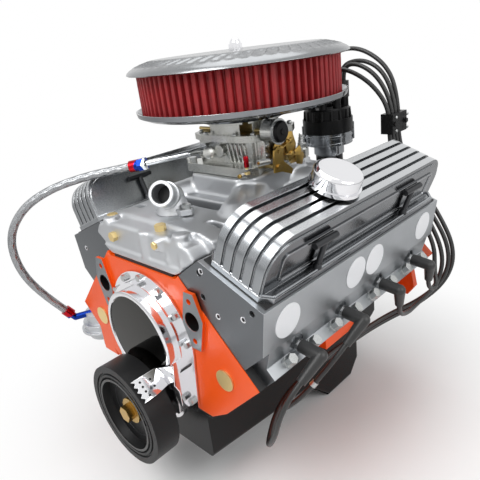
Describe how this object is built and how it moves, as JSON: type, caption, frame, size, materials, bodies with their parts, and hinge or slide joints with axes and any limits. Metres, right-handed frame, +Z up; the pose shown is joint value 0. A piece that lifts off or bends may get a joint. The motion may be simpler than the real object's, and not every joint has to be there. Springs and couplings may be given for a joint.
{
  "type": "v8 engine",
  "caption": "Complete V-type piston engine with finned covers, downdraught carburettor, ignition leads, braided fuel line, timing drive, crankshaft and pistons",
  "frame": {"origin": "mouth of the pilot bore in the crankshaft's rear flange, on the crankshaft's axis", "axes": "+Y along the crankshaft's axis to the rear, out of the pilot bore; +Z up; +X to the bank of cylinders 1, 3, 5 and 7"},
  "size_m": [0.5789, 0.6097, 0.7095],
  "materials": {
    "orange_paint": "gloss",
    "black_paint": "gloss",
    "machined_alloy": "machined",
    "polished_alloy": "polished",
    "cast_alloy": "fine cast",
    "chrome_plate": "mirror",
    "gold_casting": "gold-dipped casting",
    "brass": "satin",
    "zinc_steel": "zinc plated",
    "dark_steel": "dark oxide",
    "bare_steel": "ground",
    "black_iron": "satin",
    "grey_iron": "machined",
    "piston_alloy": "machined",
    "bearing_metal": "plain",
    "black_rubber": "satin",
    "black_plastic": "satin",
    "red_pleats": "pleated",
    "braided_steel": "braided",
    "anodised_fittings": "blue and red anodised"
  },
  "bodies": {
    "engine": {"air_cleaner_base": "chrome_plate", "air_cleaner_lid": "polished_alloy", "air_cleaner_stud": "chrome_plate", "air_filter_element": "red_pleats", "brass_plugs": "brass", "carburettor_air_horn": "gold_casting", "carburettor_base": "gold_casting", "carburettor_body": "gold_casting", "cylinder_head_left": "machined_alloy", "cylinder_head_right": "machined_alloy", "distributor_cap": "black_plastic", "distributor_housing": "polished_alloy", "engine_block": "orange_paint", "exhaust_port_covers": "machined_alloy", "flat_gaskets": "black_rubber", "fuel_fittings": "anodised_fittings", "fuel_hose": "braided_steel", "fuel_pump": "machined_alloy", "head_bolts": "zinc_steel", "intake_manifold": "cast_alloy", "lead_1": "black_rubber", "lead_3": "black_rubber", "lead_5": "black_rubber", "lead_7": "black_rubber", "lead_loom": "black_rubber", "main_bearing_caps": "grey_iron", "oil_pan": "black_paint", "plain_bearings": "bearing_metal", "plug_boots": "black_rubber", "small_bolts": "zinc_steel", "spark_plugs": "zinc_steel", "thermostat_housing": "machined_alloy", "timing_chain": "dark_steel", "timing_cover": "chrome_plate", "timing_tab": "chrome_plate", "valve_cover_bolts": "dark_steel", "valve_cover_left": "polished_alloy", "valve_cover_right": "polished_alloy", "valve_cover_seals": "black_rubber"},
    "crank": {"crankshaft": "bare_steel", "crank_sprocket": "dark_steel", "vibration_damper": "black_iron", "damper_bolt": "brass"},
    "cam": {"camshaft": "bare_steel", "cam_sprocket": "dark_steel"},
    "distributor_drive": {"distributor_shaft": "bare_steel", "distributor_rotor": "black_plastic"},
    "primary_throttle": {"primary_throttle": "brass", "throttle_lever": "gold_casting"},
    "secondary_throttle": {"secondary_throttle": "brass"},
    "choke": {"choke_plate": "brass"},
    "breather": {"breather_cap": "chrome_plate"},
    "piston_1": {"piston_1": "piston_alloy"},
    "piston_2": {"piston_2": "piston_alloy"},
    "piston_3": {"piston_3": "piston_alloy"},
    "piston_4": {"piston_4": "piston_alloy"},
    "piston_5": {"piston_5": "piston_alloy"},
    "piston_6": {"piston_6": "piston_alloy"},
    "piston_7": {"piston_7": "piston_alloy"},
    "piston_8": {"piston_8": "piston_alloy"}
  },
  "joints": [
    {"name": "crank_spin", "type": "hinge", "parent": "engine", "child": "crank", "pos_m": [0, 0, 0], "axis": [0, 1, 0], "continuous": true},
    {"name": "cam_spin", "type": "hinge", "parent": "engine", "child": "cam", "pos_m": [0, 0, 0.1148], "axis": [0, 1, 0], "continuous": true},
    {"name": "distributor_spin", "type": "hinge", "parent": "engine", "child": "distributor_drive", "pos_m": [0.024, -0.051, 0.338], "axis": [0, 0, 1], "continuous": true},
    {"name": "primary_throttle_turn", "type": "hinge", "parent": "engine", "child": "primary_throttle", "pos_m": [0, -0.288, 0.3303], "axis": [1, 0, 0], "range_deg": [0, 75]},
    {"name": "secondary_throttle_turn", "type": "hinge", "parent": "engine", "child": "secondary_throttle", "pos_m": [0, -0.236, 0.3303], "axis": [1, 0, 0], "range_deg": [0, 60]},
    {"name": "choke_turn", "type": "hinge", "parent": "engine", "child": "choke", "pos_m": [0, -0.29, 0.388], "axis": [1, 0, 0], "range_deg": [0, 80]},
    {"name": "breather_pull", "type": "slide", "parent": "engine", "child": "breather", "axis": [0.3795, 0, 0.9252], "range_m": [0, 0.03]},
    {"name": "piston_6_slide", "type": "slide", "parent": "engine", "child": "piston_6", "axis": [-0.7071, 0, 0.7071], "range_m": [-0.0884, 0]},
    {"name": "piston_1_slide", "type": "slide", "parent": "engine", "child": "piston_1", "axis": [0.7071, 0, 0.7071], "range_m": [-0.0884, 0]},
    {"name": "piston_4_slide", "type": "slide", "parent": "engine", "child": "piston_4", "axis": [-0.7071, 0, 0.7071], "range_m": [0, 0.0884]},
    {"name": "piston_7_slide", "type": "slide", "parent": "engine", "child": "piston_7", "axis": [0.7071, 0, 0.7071], "range_m": [0, 0.0884]},
    {"name": "piston_2_slide", "type": "slide", "parent": "engine", "child": "piston_2", "axis": [-0.7071, 0, 0.7071], "range_m": [-0.03729, 0.05111]},
    {"name": "piston_3_slide", "type": "slide", "parent": "engine", "child": "piston_3", "axis": [0.7071, 0, 0.7071], "range_m": [-0.03729, 0.05111]},
    {"name": "piston_5_slide", "type": "slide", "parent": "engine", "child": "piston_5", "axis": [0.7071, 0, 0.7071], "range_m": [-0.03729, 0.05111]},
    {"name": "piston_8_slide", "type": "slide", "parent": "engine", "child": "piston_8", "axis": [-0.7071, 0, 0.7071], "range_m": [-0.03729, 0.05111]}
  ],
  "couplings": [
    {"joint": "cam_spin", "follows": "crank_spin", "ratio": 0.5},
    {"joint": "distributor_spin", "follows": "crank_spin", "ratio": 0.5},
    {"joint": "secondary_throttle_turn", "follows": "primary_throttle_turn", "ratio": 0.8},
    {"joint": "piston_6_slide", "follows": "piston_1_slide", "ratio": 1},
    {"joint": "piston_7_slide", "follows": "piston_4_slide", "ratio": 1},
    {"joint": "piston_3_slide", "follows": "piston_2_slide", "ratio": 1},
    {"joint": "piston_8_slide", "follows": "piston_5_slide", "ratio": 1}
  ]
}
